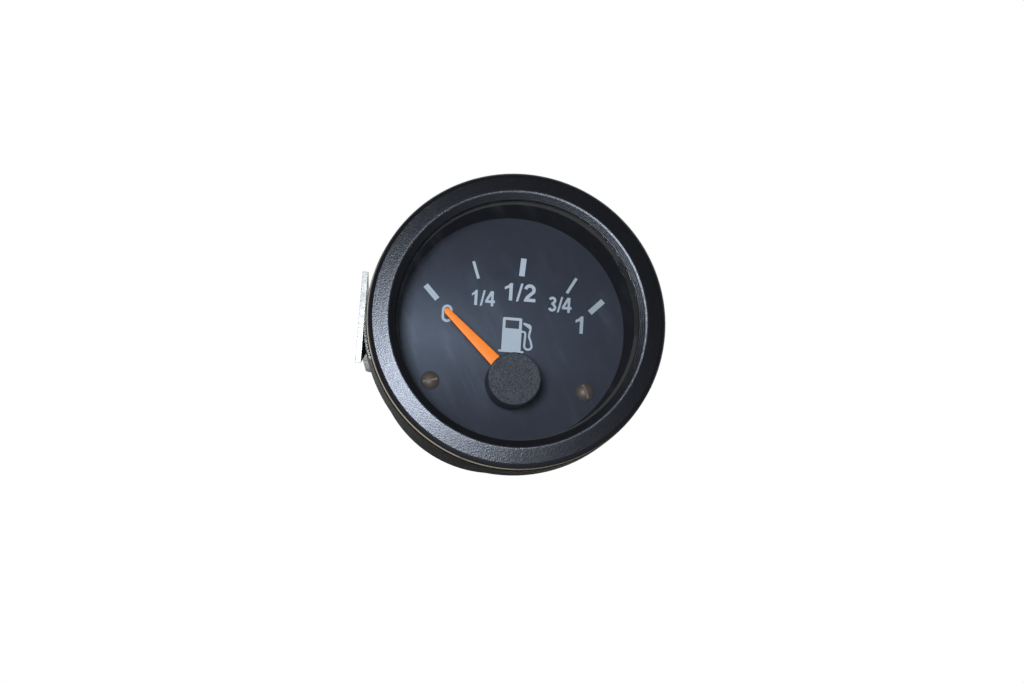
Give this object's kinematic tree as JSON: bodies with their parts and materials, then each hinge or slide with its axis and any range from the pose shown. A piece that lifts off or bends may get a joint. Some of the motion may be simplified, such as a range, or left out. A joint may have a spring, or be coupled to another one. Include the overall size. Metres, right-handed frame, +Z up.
{
  "type": "fuel gauge",
  "caption": "Round panel instrument with a black ring, flat glass, dark dial with an orange pointer, a cylindrical case, and a rear clamp bracket drawn up by knurled nuts.",
  "frame": {"origin": "on the case's axis, in the plane of the panel's front face, where the panel seal meets the panel", "axes": "+X to the viewer's right, +Y to the rear through the panel, +Z up on the dial"},
  "size_m": [0.0616, 0.073, 0.0604],
  "materials": {
    "black_satin_steel": "satin",
    "front_glass": "clear polished",
    "black_rubber": "matt",
    "black_moulding": "moulded, semi-matt",
    "dial_paint": "dark blue-grey semi-matt paint",
    "pale_ink": "pale blue-grey printed ink",
    "blackened_steel": "blackened",
    "orange_plastic": "bright orange",
    "grained_black": "finely grained",
    "bright_steel": "bright",
    "magnet": "sintered",
    "natural_moulding": "natural",
    "clear_plastic": "clear",
    "brass": "plain",
    "enamelled_copper": "enamelled wire",
    "zinc_plated_steel": "bright zinc plate",
    "green_board": "lacquered laminate",
    "resistor_body": "enamelled",
    "brown_laminate": "phenolic laminate",
    "bulb_glass": "clear"
  },
  "bodies": {
    "case": {"bezel_ring": "black_satin_steel", "lens_glass": "front_glass", "lens_gasket": "black_rubber", "shade_ring": "black_moulding", "case_body": "black_moulding", "panel_seal": "black_rubber", "dial_plate": "dial_paint", "scale_marks": "pale_ink", "scale_numerals": "pale_ink", "pump_symbol": "pale_ink", "dial_screws": "blackened_steel", "carrier_plate": "natural_moulding", "light_guide": "clear_plastic", "front_bushing": "brass", "rear_bushing": "brass", "shield_can": "bright_steel", "coil_former_front": "natural_moulding", "coil_former_rear": "natural_moulding", "coil_inner": "enamelled_copper", "coil_outer": "enamelled_copper", "return_magnet": "magnet", "coil_pins": "bright_steel", "dial_pillars": "brass", "board_spacers": "brass", "base_plate": "zinc_plated_steel", "circuit_board": "green_board", "series_resistors": "resistor_body", "clamp_diode": "black_moulding", "spade_terminals": "brass", "terminal_insulator": "brown_laminate", "mounting_studs": "zinc_plated_steel", "stud_washers": "zinc_plated_steel", "stud_nuts": "zinc_plated_steel"},
    "pointer_assembly": {"pointer": "orange_plastic", "pointer_cap": "grained_black", "spindle": "bright_steel", "rotor_magnet": "magnet"},
    "lamp_unit": {"lamp_holder": "black_moulding", "lamp_contacts": "brass", "lamp_cap": "brass", "lamp_bulb": "bulb_glass", "lamp_filament": "bright_steel"},
    "clamp": {"clamp_bracket": "zinc_plated_steel", "spring_washers": "blackened_steel"},
    "nut_left": {"knurled_nut_left": "brass"},
    "nut_right": {"knurled_nut_right": "brass"}
  },
  "joints": [
    {"name": "pointer_spin", "type": "hinge", "parent": "case", "child": "pointer_assembly", "pos_m": [0.00045, 0, -0.0114], "axis": [0, 1, 0], "range_deg": [0, 95], "stiffness_Nm_per_rad": 0.000005},
    {"name": "lamp_holder_pull", "type": "slide", "parent": "case", "child": "lamp_unit", "axis": [0, 1, 0], "range_m": [0, 0.024]},
    {"name": "bracket_slide", "type": "slide", "parent": "case", "child": "clamp", "axis": [0, 1, 0], "range_m": [0, 0.01]},
    {"name": "nut_left_spin", "type": "hinge", "parent": "clamp", "child": "nut_left", "pos_m": [-0.0175, 0.0464, 0], "axis": [0, 1, 0], "range_deg": [-5, 5150]},
    {"name": "nut_right_spin", "type": "hinge", "parent": "clamp", "child": "nut_right", "pos_m": [0.0175, 0.0464, 0], "axis": [0, 1, 0], "range_deg": [-5, 5150]}
  ],
  "couplings": [
    {"joint": "nut_left_spin", "follows": "bracket_slide", "rad_per_m": 8976},
    {"joint": "nut_right_spin", "follows": "bracket_slide", "rad_per_m": 8976}
  ]
}
